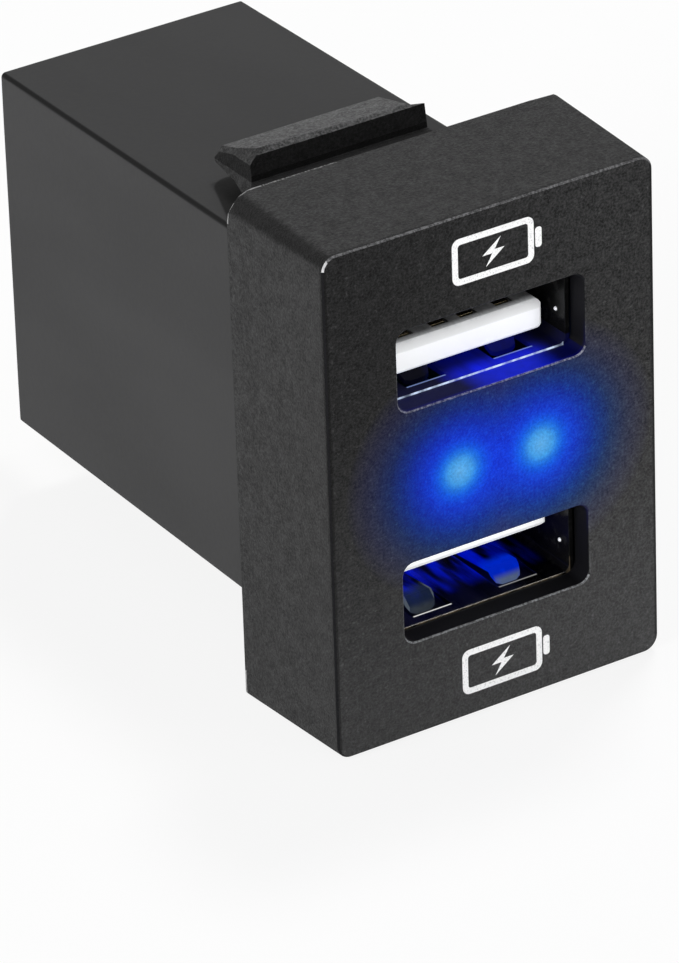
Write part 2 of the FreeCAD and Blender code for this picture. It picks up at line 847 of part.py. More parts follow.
def make_lamp(name, across):
    """A blue lamp with a bevelled end, and its two legs."""
    tip = document.addObject("Part::Cone", f"{name}_tip")
    tip.Placement.Rotation = FreeCAD.Rotation(FreeCAD.Vector(1, 0, 0), -90)
    bind(
        tip,
        Radius1="lamp_radius - lamp_bevel",
        Radius2="lamp_radius",
        Height="lamp_bevel",
        Placement__Base__x=across,
        Placement__Base__y=LAMP_TIP,
    )
    barrel = rod(
        f"{name}_barrel",
        "lamp_radius",
        "lamp_length - lamp_bevel",
        across,
        f"{LAMP_TIP} + lamp_bevel",
        "0",
    )
    rim = rod(
        f"{name}_rim",
        "lamp_rim_radius",
        "lamp_rim_length",
        across,
        f"{LAMP_BACK} - lamp_rim_length",
        "0",
    )
    node(joined(f"{name}_lamp_solid", [tip, barrel, rim]), f"{name}_lamp")
    legs = []
    for leg_name, leg_side in (("short", "-1"), ("long", "1")):
        leg = block(
            f"{name}_{leg_name}_leg",
            "leg_thickness",
            f"{BOARD_BACK} - {LAMP_BACK} + leg_reach",
            "leg_thickness",
            f"{across} + {leg_side} * leg_pitch / 2",
            LAMP_BACK,
            "0",
        )
        legs.append(leg)
    node(group(f"{name}_legs", legs), f"{name}_lamp_legs")


def punch(body, name, width, height, across, up, at):
    """A rectangular hole through a board, with room around what passes through it."""
    outline = rectangle(
        body,
        name,
        "XZ_Plane",
        f"{width} + 2 * hole_gap",
        f"{height} + 2 * hole_gap",
        across=across,
        up=up,
        at=at,
    )
    pocket(body, outline, "2 * board_thickness", "back")


def punch_link_holes(body, at):
    """One hole for each pin that joins the boards."""
    size = "link_thickness"
    for number, up in enumerate(LINK_PLACES, start=1):
        punch(body, f"link_hole_{number}", size, size, "lamp_shift", up, at)


def make_front_board():
    """The board that carries the receptacles and the lamps."""
    body = document.addObject("PartDesign::Body", "front_board")
    outline = rectangle(
        body,
        "outline",
        "XZ_Plane",
        "body_width - 2 * body_wall - 2 * board_gap",
        "body_height - 2 * body_wall - 2 * board_gap",
        at=SHELL_BACK,
    )
    pad(body, outline, "board_thickness", "back")
    for name, side in PORTS.items():
        for across_name, across_side in (("left", "-1"), ("right", "1")):
            slot_across = f"{across_side} * (shell_width - shell_sheet) / 2"
            slot_name = f"{name}_{across_name}_peg_slot"
            punch(body, slot_name, "shell_sheet", "peg_width", slot_across, port_up(side), SHELL_BACK)
        tail_up = f"{side} * (port_pitch / 2 - tongue_drop - groove_depth + contact_sheet / 2)"
        for number, across in enumerate(CONTACT_PLACES, start=1):
            slot_name = f"{name}_tail_slot_{number}"
            punch(body, slot_name, "tail_width", "contact_sheet", across, tail_up, SHELL_BACK)
    for name, across in LAMPS.items():
        for leg_name, leg_side in (("short", "-1"), ("long", "1")):
            leg_across = f"{across} + {leg_side} * leg_pitch / 2"
            slot_name = f"{name}_{leg_name}_leg_hole"
            punch(body, slot_name, "leg_thickness", "leg_thickness", leg_across, "0", SHELL_BACK)
    punch_link_holes(body, SHELL_BACK)
    return node(body, "front_board")


def make_power_board():
    """The rear board, which carries the converter and the spade terminals."""
    body = document.addObject("PartDesign::Body", "power_board")
    outline = rectangle(
        body,
        "outline",
        "XZ_Plane",
        "body_width - 2 * body_wall - 2 * long_rib_height - 2 * board_gap",
        "body_height - 2 * body_wall - 2 * board_gap",
        at=POWER_FRONT,
    )
    pad(body, outline, "board_thickness", "back")
    punch_link_holes(body, POWER_FRONT)
    for across_name, across_side in (("left", "-1"), ("right", "1")):
        for up_name, up_side in PORTS.items():
            slot_name = f"{across_name}_{up_name}_leg_slot"
            slot_across = f"{across_side} * blade_spread / 2"
            slot_up = f"{up_side} * blade_leg_pitch / 2"
            punch(body, slot_name, "blade_thickness", "blade_leg_width", slot_across, slot_up, POWER_FRONT)
    return node(body, "power_board")


def make_link():
    """A strip of three square pins between the boards."""
    strip_at = f"{POWER_FRONT} - link_strip"
    strip = block("strip", "link_strip", "link_strip", "3 * link_pitch", "lamp_shift", strip_at, "0")
    holes = []
    pins = []
    start = f"({SHELL_BACK} - link_reach)"
    length = f"{POWER_BACK} + link_reach - {start}"
    for number, up in enumerate(LINK_PLACES, start=1):
        size = "link_thickness"
        pins.append(block(f"link_pin_{number}", size, length, size, "lamp_shift", start, up))
        holes.append(block(f"link_way_{number}", size, length, size, "lamp_shift", start, up))
    node(less("strip_with_ways", strip, joined("link_ways", holes)), "link_header")
    node(group("link_pin_group", pins), "link_pins")


def make_blade(name, side):
    """A 6.3 mm spade terminal on edge: two solder legs, a plain tab and a bevelled tip."""
    body = document.addObject("PartDesign::Body", f"{name}_blade")
    leg_tip = f"({POWER_FRONT} - blade_leg_reach)"
    tip = "(body_length + blade_reach)"
    leg_outer = "(blade_leg_pitch / 2 + blade_leg_width / 2)"
    leg_inner = "(blade_leg_pitch / 2 - blade_leg_width / 2)"
    half_outline = [
        (POWER_BACK, leg_inner),
        (leg_tip, leg_inner),
        (leg_tip, leg_outer),
        (POWER_BACK, leg_outer),
        (POWER_BACK, "blade_width / 2"),
        (f"{tip} - blade_bevel_along", "blade_width / 2"),
        (tip, "blade_width / 2 - blade_bevel_across"),
    ]
    other_half = [(along, f"-({up})") for along, up in reversed(half_outline)]
    across = f"{side} * blade_spread / 2"
    outline = polygon(body, "outline", "YZ_Plane", half_outline + other_half, at=across)
    pad(body, outline, "blade_thickness")
    end = body.Shape.BoundBox.YMax
    dress(body, "Chamfer", lambda e: box_of(e).YMin > end - 1e-4 and box_of(e).ZLength > 1,
          Size="blade_thickness / 4")
    hole = circle(
        body,
        "hole",
        "YZ_Plane",
        "blade_hole_radius",
        across=f"{tip} - blade_hole_setback",
        at=across,
    )
    pocket(body, hole, "2 * blade_thickness")
    return node(body, f"{name}_blade")


def make_choke():
    """A drum core with its winding, standing on the rear board."""
    bottom = f"{POWER_FRONT} - choke_height"
    place = (CHOKE_ACROSS, bottom, CHOKE_UP)
    stem = rod("choke_stem", "choke_core_radius", "choke_height", *place)
    front_flange = rod("choke_front_flange", "choke_radius", "choke_flange", *place)
    back_place = (CHOKE_ACROSS, f"{POWER_FRONT} - choke_flange", CHOKE_UP)
    back_flange = rod("choke_back_flange", "choke_radius", "choke_flange", *back_place)
    node(joined("choke_drum", [stem, front_flange, back_flange]), "choke_core")
    length = "choke_height - 2 * choke_flange"
    coil_place = (CHOKE_ACROSS, f"{bottom} + choke_flange", CHOKE_UP)
    coil = rod("coil", "winding_radius", length, *coil_place)
    eye = rod("coil_eye", "choke_core_radius", length, *coil_place)
    node(less("coil_ring", coil, eye), "choke_winding")


def make_capacitors():
    """Two aluminium cans with a rolled groove, each on a square plastic base."""
    bases = []
    for name in ("input", "output"):
        radius = f"{name}_can_radius"
        across = CAN_ACROSS[name]
        height = f"{name}_can_height"
        foot = f"({POWER_FRONT} - can_base_height)"
        can = rod(f"{name}_can", radius, height, across, f"{foot} - {height}", CAN_UP)
        groove_at = f"{foot} - can_groove_up"
        band = rod(f"{name}_band", f"2 * {radius}", "can_groove", across, groove_at, CAN_UP)
        waist = rod(f"{name}_waist", f"{radius} - can_groove", "can_groove", across, groove_at, CAN_UP)
        ring = less(f"{name}_ring", band, waist)
        node(less(f"{name}_can_grooved", can, ring), f"{name}_capacitor")
        side = f"2 * ({radius} - can_base_margin)"
        bases.append(block(f"{name}_base", side, "can_base_height", side, across, foot, CAN_UP))
    node(group("can_bases", bases), "capacitor_bases")


def make_converter():
    """The converter chip behind the rear board, with eight bent leads."""
    at = f"({POWER_BACK} + chip_standoff)"
    node(block("chip", "chip_length", "chip_height", "chip_width", "0", at, CHIP_UP), "converter_chip")
    leads = []
    lead_width = "chip_lead_width"
    shoulder_at = f"({at} + chip_height / 2)"
    shoulder_length = "(chip_lead_foot + chip_lead_sheet / 2)"
    for row_name, row_side in PORTS.items():
        for number in range(4):
            across = f"({number} - 1.5) * chip_lead_pitch"
            foot_up = f"{CHIP_UP} + {row_side} * (chip_lead_span - chip_lead_foot) / 2"
            riser_up = f"{CHIP_UP} + {row_side} * (chip_width / 2 + chip_lead_foot)"
            shoulder_up = f"{CHIP_UP} + {row_side} * (chip_width + {shoulder_length}) / 2"
            label = f"{row_name}_lead_{number + 1}"
            sheet_size = "chip_lead_sheet"
            foot_place = (across, POWER_BACK, foot_up)
            foot = block(f"{label}_foot", lead_width, sheet_size, "chip_lead_foot", *foot_place)
            riser_depth = f"{shoulder_at} + {sheet_size} - {POWER_BACK}"
            riser_place = (across, POWER_BACK, riser_up)
            riser = block(f"{label}_riser", lead_width, riser_depth, sheet_size, *riser_place)
            shoulder_place = (across, shoulder_at, shoulder_up)
            shoulder = block(f"{label}_shoulder", lead_width, sheet_size, shoulder_length, *shoulder_place)
            leads.append(joined(label, [foot, riser, shoulder]))
    node(group("lead_group", leads), "converter_leads")


def make_small_parts():
    """Diode, filter capacitors, resistors and the ports' charge controller."""
    diode_at = f"{POWER_FRONT} - diode_height"
    diode_place = (DIODE_ACROSS, diode_at, DIODE_UP)
    diode = block("diode", "diode_width", "diode_height", "diode_length", *diode_place)
    node(diode, "catch_diode")
    rows = {
        "filter": (POWER_BACK, FILTER_UP, "filter_capacitors"),
        "resistor": (BOARD_BACK, "resistor_up", "chip_resistors"),
    }
    for name, (at, up, label) in rows.items():
        parts = []
        for number in range(3):
            part = block(
                f"{name}_{number + 1}",
                "small_part_width",
                "small_part_height",
                "small_part_length",
                f"({number} - 1) * small_part_pitch",
                at,
                up,
            )
            parts.append(part)
        node(group(f"{name}_group", parts), label)
    guard = block("guard", "guard_length", "guard_height", "guard_width", "0", BOARD_BACK, "guard_up")
    node(guard, "charge_controller")


make_bezel()
make_housing()
for port_name, port_side in PORTS.items():
    make_shell(port_name, port_side)
    make_tongue(port_name, port_side)
    make_contacts(port_name, port_side)
for lamp_name, lamp_across in LAMPS.items():
    make_lamp(lamp_name, lamp_across)
make_front_board()
make_power_board()
make_link()
make_blade("positive", "1")
make_blade("negative", "-1")
make_choke()
make_capacitors()
make_converter()
make_small_parts()
document.recompute()

for thing in document.Objects:
    if {"Invalid", "Error"} & set(thing.State):
        raise RuntimeError(f"{thing.Label} did not build: {thing.State}")
for thing in nodes:
    if thing.Shape.isNull() or not thing.Shape.isValid() or not thing.Shape.Solids:
        raise RuntimeError(f"{thing.Label} is not a sound solid")

os.makedirs("parts", exist_ok=True)
for thing in nodes:
    thing.Shape.exportStep(f"parts/{thing.Label}.step")
print(f"wrote {len(nodes)} sub-parts")
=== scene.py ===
import math

import bmesh
import bpy
from mathutils import Matrix, Vector


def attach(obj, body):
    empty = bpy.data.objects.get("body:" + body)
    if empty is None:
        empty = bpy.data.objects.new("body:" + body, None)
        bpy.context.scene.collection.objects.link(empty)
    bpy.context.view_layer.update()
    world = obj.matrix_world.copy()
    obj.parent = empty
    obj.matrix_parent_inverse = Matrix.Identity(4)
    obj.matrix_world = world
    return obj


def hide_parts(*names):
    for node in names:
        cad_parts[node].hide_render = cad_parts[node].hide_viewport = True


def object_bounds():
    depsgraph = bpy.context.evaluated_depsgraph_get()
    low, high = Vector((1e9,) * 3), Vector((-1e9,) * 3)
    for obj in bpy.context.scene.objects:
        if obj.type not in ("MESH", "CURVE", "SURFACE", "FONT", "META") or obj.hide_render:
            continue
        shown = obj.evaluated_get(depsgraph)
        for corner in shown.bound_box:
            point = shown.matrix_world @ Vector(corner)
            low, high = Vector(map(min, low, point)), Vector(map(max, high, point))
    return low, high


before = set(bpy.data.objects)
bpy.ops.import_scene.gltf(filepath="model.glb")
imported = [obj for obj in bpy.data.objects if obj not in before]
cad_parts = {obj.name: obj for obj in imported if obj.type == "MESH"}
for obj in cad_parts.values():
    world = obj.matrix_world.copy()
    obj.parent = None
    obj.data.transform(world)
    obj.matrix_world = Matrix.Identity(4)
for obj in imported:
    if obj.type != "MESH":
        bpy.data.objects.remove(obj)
cad_low, cad_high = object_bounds()


# Front bezel
# A thick cap with its collar and two snap latches, moulded in one from dark grey nylon. The mould is
# spark-eroded, so every face carries a fine grain. Two places behind the face are thinned to let the
# blue lamps shine through; their light there is painted on the face as emission.
MM = 0.001


class Wire:
    """A socket of a material's nodes. Arithmetic on it adds the Math nodes that work it out."""

    def __init__(self, tree, socket=None):
        self.tree = tree
        self.socket = socket

    def fill(self, node, inputs):
        for key, value in inputs.items():
            if isinstance(value, Wire):
                self.tree.links.new(value.socket, node.inputs[key])
            else:
                node.inputs[key].default_value = value

    def node(self, kind, inputs=None, outlet=0, stops=None, **settings):
        """Add a node: its settings first, then the value or wire of each of its sockets."""
        made = self.tree.nodes.new(kind)
        for name, value in settings.items():
            setattr(made, name, value)
        if stops:
            points = made.color_ramp.elements
            for place, colour in stops[2:]:
                points.new(place)
            for point, (place, colour) in zip(points, stops):
                point.position = place
                point.color = colour
        self.fill(made, inputs or {})
        return Wire(self.tree, made.outputs[outlet])

    def math(self, operation, first, second=0.0):
        return self.node("ShaderNodeMath", {0: first, 1: second}, operation=operation)

    def __add__(self, other):
        return self.math("ADD", self, other)

    def __sub__(self, other):
        return self.math("SUBTRACT", self, other)

    def __rsub__(self, other):
        return self.math("SUBTRACT", other, self)

    def __mul__(self, other):
        return self.math("MULTIPLY", self, other)

    def __truediv__(self, other):
        return self.math("DIVIDE", self, other)

    __radd__ = __add__
    __rmul__ = __mul__

    def __lt__(self, other):
        return self.math("LESS_THAN", self, other)

    def __gt__(self, other):
        return self.math("GREATER_THAN", self, other)

    def __abs__(self):
        return self.math("ABSOLUTE", self)

    def length(self, other):
        """The length of a vector whose two parts are these numbers."""
        return self.math("SQRT", self * self + other * other)

    def within(self, low, high):
        """1 between these two values, 0 outside them."""
        return (self > low) * (self < high)

    def rise(self, low, high):
        """0 up to low, 1 from high, and smooth between."""
        reach = {"Value": self, "From Min": low, "From Max": high}
        return self.node("ShaderNodeMapRange", reach, interpolation_type="SMOOTHSTEP")

    def hump(self, centre, reach, low, high):
        """1 round a centre, falling smoothly where the squared way from it, in reaches, is low to high."""
        way = (self - centre) / reach
        return 1 - (way * way).rise(low, high)

    def mix(self, factor, first, second, how):
        """Two colours put together in one of the Mix node's ways."""
        colours = {0: factor, 6: first, 7: second}
        return self.node("ShaderNodeMix", colours, outlet=2, data_type="RGBA", blend_type=how)

    def blend(self, first, second):
        """The first colour where this is 0 and the second where it is 1."""
        return self.mix(self, first, second, "MIX")


class Finish:
    """A new material: its Principled shader, and the place on the part in millimetres."""

    def __init__(self, name):
        self.material = bpy.data.materials.new(name)
        self.material.use_nodes = True
        self.shader = self.material.node_tree.nodes["Principled BSDF"]
        self.wire = Wire(self.material.node_tree)
        metres = self.wire.node("ShaderNodeTexCoord", outlet="Object")
        scale = {0: metres, 3: 1 / MM}
        self.place = self.wire.node("ShaderNodeVectorMath", scale, operation="SCALE")
        self.x, self.y, self.z = (self.part_of(self.place, axis) for axis in "XYZ")

    def part_of(self, vector, axis):
        """One of a vector's three numbers."""
        return self.wire.node("ShaderNodeSeparateXYZ", {0: vector}, outlet=axis)

    def noise(self, per_mm, detail=2.0, roughness=0.5, stretch=(1, 1, 1)):
        """Soft noise between 0 and 1, with this many features to the millimetre."""
        along = self.wire.node("ShaderNodeVectorMath", {0: self.place, 1: stretch}, operation="MULTIPLY")
        inputs = {"Vector": along, "Scale": per_mm, "Detail": detail, "Roughness": roughness}
        return self.wire.node("ShaderNodeTexNoise", inputs)

    def bump(self, height, depth, rounding=0.0):
        """A normal from a height of 0 to 1, that deep in millimetres, over rounded edges."""
        inputs = {"Height": height, "Strength": 1.0, "Distance": depth * MM}
        if rounding:
            edge = {"Radius": rounding * MM}
            inputs["Normal"] = self.wire.node("ShaderNodeBevel", edge, samples=6)
        return self.wire.node("ShaderNodeBump", inputs)

    def facing(self, axis):
        """How far the surface looks along an axis, from -1 to 1."""
        return self.part_of(self.wire.node("ShaderNodeNewGeometry", outlet="Normal"), axis)

    def set(self, **sockets):
        """Set the shader's sockets. A name's underscores stand for spaces."""
        self.wire.fill(self.shader, {name.replace("_", " "): value for name, value in sockets.items()})
        return self.material


def add_piece(name, mesh):
    """Put a mesh into the scene as a piece that is fixed to the object's one body."""
    data = bpy.data.meshes.new(name)
    mesh.to_mesh(data)
    mesh.free()
    piece = bpy.data.objects.new(name, data)
    bpy.context.scene.collection.objects.link(piece)
    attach(piece, "root")
    return piece


# The frame's bezel has the same corner radius four times. The real one is round at its upper left
# only, and the right tip of each latch's ridge slopes down.
FACE = -10.0
RIM_HALVES = (11.6, 16.65)
FACE_INSET = 0.1
SKIRT_DEPTH = 9.88
RIM_CORNER = 1.9
FACE_CORNER = 0.95
ROUND_CORNER = 1.5
TIGHT_CORNER = 0.35
LATCH_START = 5.0
RIDGE_END = 5.15
RIDGE_TOP = 15.3
TIP_REACH = 0.55
TIP_DROP = 0.36
HAIR = 0.005
OFF_ARC = 0.03
SHARP_ANGLE = 30


def corner_moved(x, y, z):
    """Where a point of the bezel's four long corners goes. Any other point stays."""
    forward = -y / SKIRT_DEPTH
    old = RIM_CORNER + (FACE_CORNER - RIM_CORNER) * forward
    rim = ROUND_CORNER if x < 0 < z else TIGHT_CORNER
    new = rim + (FACE_CORNER - rim) * forward
    halves = [half - FACE_INSET * forward for half in RIM_HALVES]
    over = [abs(at) - (half - old) for at, half in zip((x, z), halves)]
    if not 0 <= forward <= 1 or min(over) < -HAIR or abs(math.hypot(*over) - old) > OFF_ARC:
        return x, z
    moved = [half - new + reach * new / old for reach, half in zip(over, halves)]
    return math.copysign(moved[0], x), math.copysign(moved[1], z)


def tip_drop(x, y, z):
    """How far a point of a ridge's tip goes down: all the way at its end, and half of it before."""
    if y <= LATCH_START or x <= RIDGE_END or abs(z) <= RIDGE_TOP:
        return 0.0
    return TIP_DROP if x > RIDGE_END + TIP_REACH else TIP_DROP / 2


cap_mesh = bmesh.new()
cap_mesh.from_mesh(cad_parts["front_bezel"].data)
bmesh.ops.remove_doubles(cap_mesh, verts=cap_mesh.verts, dist=0.001 * MM)
for vert in cap_mesh.verts:
    x, y, z = vert.co / MM
    x, z = corner_moved(x, y, z)
    z -= math.copysign(tip_drop(x, y, z), z)
    vert.co = Vector((x, y, z)) * MM
cap = add_piece("bezel_cap", cap_mesh)
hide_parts("front_bezel")
if "custom_normal" in cap.data.attributes:
    cap.data.attributes.remove(cap.data.attributes["custom_normal"])
cap.data.shade_smooth()
cap.data.set_sharp_from_angle(angle=math.radians(SHARP_ANGLE))

# The lamps' halos, painted as emission: their colour at each distance from a lamp, in millimetres
LAMPS_ACROSS = (-2.43, 3.27)
GLOW_REACH = 8.0
GLOW = [
    (0.0, (0.11, 0.39, 0.75, 1)),
    (0.8, (0.05, 0.30, 0.73, 1)),
    (1.2, (0.01, 0.15, 0.69, 1)),
    (1.6, (0.0, 0.067, 0.68, 1)),
    (2.0, (0.0, 0.030, 0.62, 1)),
    (2.4, (0.0, 0.012, 0.52, 1)),
    (3.2, (0.0, 0.004, 0.33, 1)),
    (4.0, (0.0, 0.002, 0.18, 1)),
    (5.0, (0.0, 0.001, 0.075, 1)),
    (6.0, (0.0, 0.0, 0.035, 1)),
    (8.0, (0.0, 0.0, 0.0, 1)),
]
BLACK = (0, 0, 0, 1)
PAINTED_LAMPLIGHT_TINT = (0.10, 0.82, 1.0, 1)
PAINTED_FLOOR_LAMPLIGHT = (0.0, 0.008, 0.47, 1)
BLUE_CENTRE = 1.8

grain = Finish("grained_nylon")
fine = grain.noise(6.0, detail=3.0, roughness=0.7)
coarse = grain.noise(1.6, detail=3.0)
stops = [(distance / GLOW_REACH, colour) for distance, colour in GLOW]
ways = [(grain.x - across).length(grain.z) for across in LAMPS_ACROSS]
halos = [grain.wire.node("ShaderNodeValToRGB", {0: way / GLOW_REACH}, stops=stops) for way in ways]
both_halos = grain.wire.mix(1.0, *halos, "SCREEN")
nearest_lamp = grain.wire.math("MINIMUM", *ways)

# Places on the bezel: the face, the polished slots with their broken edges, and the rim of the face
PORT_UP = 7.67
SLOT_HALVES = (6.59, 2.65)
SLOT_BREAK = 0.1
RIM_BREAK = 0.115
WALL_FOOT = 0.35

from_port = abs(grain.z) - PORT_UP
slots, slots_and_edges = (
    (abs(grain.x) < SLOT_HALVES[0] + more) * (abs(from_port) < SLOT_HALVES[1] + more)
    for more in (0.02, SLOT_BREAK)
)
on_face = 1 - grain.y.rise(FACE + 0.1, FACE + 0.4)
off_face = 1 - on_face
in_slot = slots * (grain.y > FACE + 2 * HAIR)
on_floor = in_slot * grain.z.within(0.0, PORT_UP - SLOT_HALVES[1] + WALL_FOOT)
slot_edge = slots_and_edges * grain.y.within(FACE + HAIR, FACE + SLOT_BREAK - HAIR)
rim_edge = (1 - slots_and_edges) * grain.y.within(FACE + HAIR, FACE + RIM_BREAK)
looks_across, looks_back, looks_up = (grain.facing(axis) for axis in "XYZ")
upward = looks_up > 0.3

# Places behind the face: the latches with their ramp, catch, end and arm, and the rounded corners
LATCH_HALF = 6.25
LATCH_UP = 13.6
RAMP_START = 5.7
ARM_HALF = 6.3
ARM_UP = 14.0
ARM_END = 5.9

steep = abs(looks_up)
on_latch = (grain.y > LATCH_START) * (abs(grain.z) > LATCH_UP) * (abs(grain.x) < LATCH_HALF)
ramp = on_latch * steep.rise(0.30, 0.42) * (grain.y > RAMP_START)
catch = on_latch * (looks_back < -0.6)
latch_end = on_latch * (looks_across < -0.5)
arm_top = grain.y.within(0.05, ARM_END) * (abs(grain.x) < ARM_HALF) * (abs(grain.z) < ARM_UP)
rounded = (abs(looks_across) * steep).rise(0.16, 0.46) * grain.y.within(FACE + 0.2, 0.001)

# The nylon's colour with painted shading: the face is painted darkest at its upper left and lighter
# towards the lower right; the skirt is painted lighter on its top and bottom and much lighter on
# the latches' ramps, and darker at its rounded corners, the arms' tops, the latches' ends and catches.
# Light specks show the grain.
NYLON = (0.173, 0.173, 0.175, 1)
NYLON_SHARE = 0.15
SLOT_PAINTED_SHADE = (0.005, 0.005, 0.006, 1)
PAINTED_TINT_REACH = (2.6, 8.4)

lower = 1 - grain.z.rise(-18.0, 12.0)
rightwards = grain.x.rise(-10.0, 10.0) * (1 - 0.75 * lower)
face_painted_shading = (0.80 + 0.70 * lower + 1.05 * lower * lower) * (0.90 + 0.85 * rightwards)
painted_shade = (1 - 0.70 * rounded) * (1 - 0.68 * arm_top) * (1 - 0.66 * latch_end) * (1 - 0.50 * catch)
skirt_painted_shading = (1.21 + 0.29 * steep.rise(0.6, 0.9) + 2.45 * ramp) * painted_shade
speck = fine.rise(0.32, 0.76) * 0.75 + coarse.rise(0.3, 0.7) * 0.25
speck_strength = on_face * (1.80 - 0.90 * lower) + off_face * (1.30 + 0.25 * ramp)
dots = grain.noise(3.2, detail=4.0, roughness=0.6).rise(0.60, 0.68) * on_face
shading_and_grain = (on_face * face_painted_shading + off_face * skirt_painted_shading) * (0.91 + (speck - 0.45) * speck_strength)
# Painted shade: the face darker just inside its side edges, and the top darker just behind the face
beside_edge = on_face * abs(grain.x).rise(11.18, 11.32)
above_edge = off_face * (looks_up > 0.6) * (grain.y < FACE + 0.3) * 0.7
shading_and_grain = (shading_and_grain + 1.1 * dots) * (1 - 0.6 * (beside_edge + above_edge))
plastic_and_painted_shade = (shading_and_grain * NYLON_SHARE).blend(BLACK, NYLON)
# Painted lamplight: near the lamps the face's colour is multiplied by a blue cast
plastic_with_painted_blue = grain.wire.mix(1.0, plastic_and_painted_shade, PAINTED_LAMPLIGHT_TINT, "MULTIPLY")
colour_and_painted_light = (nearest_lamp.rise(*PAINTED_TINT_REACH) + off_face).rise(0.0, 1.0).blend(plastic_with_painted_blue, plastic_and_painted_shade)
# Painted shade: the slot walls near black, and the upper slot's floor black under its painted light
colour_and_painted_light = in_slot.blend(colour_and_painted_light, SLOT_PAINTED_SHADE)
colour_and_painted_light = (on_floor * 0.9).blend(colour_and_painted_light, BLACK)

# The broken edges: painted highlights in specks where they look up or right, painted black elsewhere
SLOT_EDGE_HIGHLIGHT = (0.30, 0.31, 0.32, 1)
RIM_EDGE_HIGHLIGHT = (0.17, 0.17, 0.175, 1)
BACK_EDGE_HIGHLIGHT = (0.31, 0.31, 0.31, 1)
RIM_EDGE_SHADE = (0.006, 0.006, 0.007, 1)
SPARK = (0.55, 0.55, 0.56, 1)
BACK_BREAK = 0.13
BACK_CORNER = (-9.2, 14.9)
BACK_LINE_END = -4.0
BACK_LINE_UP = 16.4
SPARK_CORNER = (-11.12, 15.72)

edge_speckle = fine.rise(0.40, 0.62)
below_left = 0.05 * (looks_across < -0.3) * (grain.z < 0.0)
slot_shine = 0.02 + 0.95 * upward + 0.55 * (looks_across > 0.3) + below_left
colour_and_painted_light = (slot_edge * slot_shine * (0.25 + 0.75 * edge_speckle)).blend(colour_and_painted_light, SLOT_EDGE_HIGHLIGHT)
colour_and_painted_light = (rim_edge * (1 - upward)).blend(colour_and_painted_light, RIM_EDGE_SHADE)
colour_and_painted_light = (rim_edge * upward * (0.30 + 0.70 * edge_speckle)).blend(colour_and_painted_light, RIM_EDGE_HIGHLIGHT)
# A painted highlight in specks along the cap's back edge, at its upper left corner and along its top
back_edge = grain.y.within(-BACK_BREAK, 0.001) * (looks_back < 0.85)
back_corner = (grain.x < BACK_CORNER[0]) * (abs(grain.z) > BACK_CORNER[1]) * (0.75 + 0.25 * edge_speckle)
back_line = (abs(grain.z) > BACK_LINE_UP) * grain.x.within(BACK_CORNER[0], BACK_LINE_END) * edge_speckle * 0.8
colour_and_painted_light = (back_edge * (back_corner + back_line)).blend(colour_and_painted_light, BACK_EDGE_HIGHLIGHT)
# A painted glint at the face's upper left corner
spark = rim_edge * (grain.x < SPARK_CORNER[0]) * (grain.z > SPARK_CORNER[1]) * (looks_up > 0.0)
colour_and_painted_light = spark.blend(colour_and_painted_light, SPARK)

# The lamps' light painted as emission: through the thinned face, and on the upper slot's floor
floor_lamplight = on_floor * (0.06 + 0.94 * grain.x.hump(BLUE_CENTRE, 3.3, 0.0, 1.1)) * (0.7 + 0.5 * coarse)
painted_light = (on_face * (0.74 + 0.36 * speck)).blend(BLACK, both_halos)
grain.set(
    Base_Color=colour_and_painted_light,
    Roughness=0.55 + 0.16 * fine - 0.10 * in_slot,
    Specular_IOR_Level=0.08,
    Normal=grain.bump(fine * (1 - in_slot), 0.20, rounding=0.10),
    Emission_Color=floor_lamplight.blend(painted_light, PAINTED_FLOOR_LAMPLIGHT),
    Emission_Strength=1.1,
)
cap.data.materials.append(grain.material)


# Port marks
# Beside each port the face carries a small white mark, pad-printed in ink: a battery with a
# charging bolt. The ink is a thin film with pinholes.
MARK_ACROSS = 0.2
MARK_UP = 13.6
INK = 0.02
CASE_OUTSIDE = (5.7, 3.0, 0.5)
CASE_INSIDE = (4.9, 2.2, 0.2)
KNOB_ACROSS = MARK_ACROSS + 3.17
KNOB = (0.45, 1.3, 0.18)
INK_THIN = (0.62, 0.62, 0.63, 1)
INK_WHITE = (0.97, 0.97, 0.97, 1)
BOLT = [(0.55, 0.85), (-0.75, -0.1), (-0.05, -0.1), (-0.5, -0.85), (0.8, 0.12), (0.1, 0.12)]


def film(outlines, front, thickness):
    """A thin film on the face: the first outline is its rim, and the others are holes in it."""
    mesh = bmesh.new()
    edges = []
    for outline in outlines:
        ring = [mesh.verts.new((x * MM, front * MM, z * MM)) for x, z in outline]
        edges += [mesh.edges.new((a, b)) for a, b in zip(ring, ring[1:] + ring[:1])]
    made = bmesh.ops.triangle_fill(mesh, use_beauty=True, edges=edges)
    faces = [item for item in made["geom"] if isinstance(item, bmesh.types.BMFace)]
    raised = bmesh.ops.extrude_face_region(mesh, geom=faces)
    corners = [item for item in raised["geom"] if isinstance(item, bmesh.types.BMVert)]
    bmesh.ops.translate(mesh, verts=corners, vec=(0, thickness * MM, 0))
    bmesh.ops.recalc_face_normals(mesh, faces=mesh.faces)
    return mesh


def round_box(across, up, width, height, corner, steps=5):
    """The outline of a rounded rectangle."""
    points = []
    for turn, (side, top) in enumerate([(1, -1), (1, 1), (-1, 1), (-1, -1)]):
        for step in range(steps + 1):
            angle = math.radians(90 * (turn - 1 + step / steps))
            x = across + side * (width / 2 - corner) + corner * math.cos(angle)
            z = up + top * (height / 2 - corner) + corner * math.sin(angle)
            points.append((x, z))
    return points


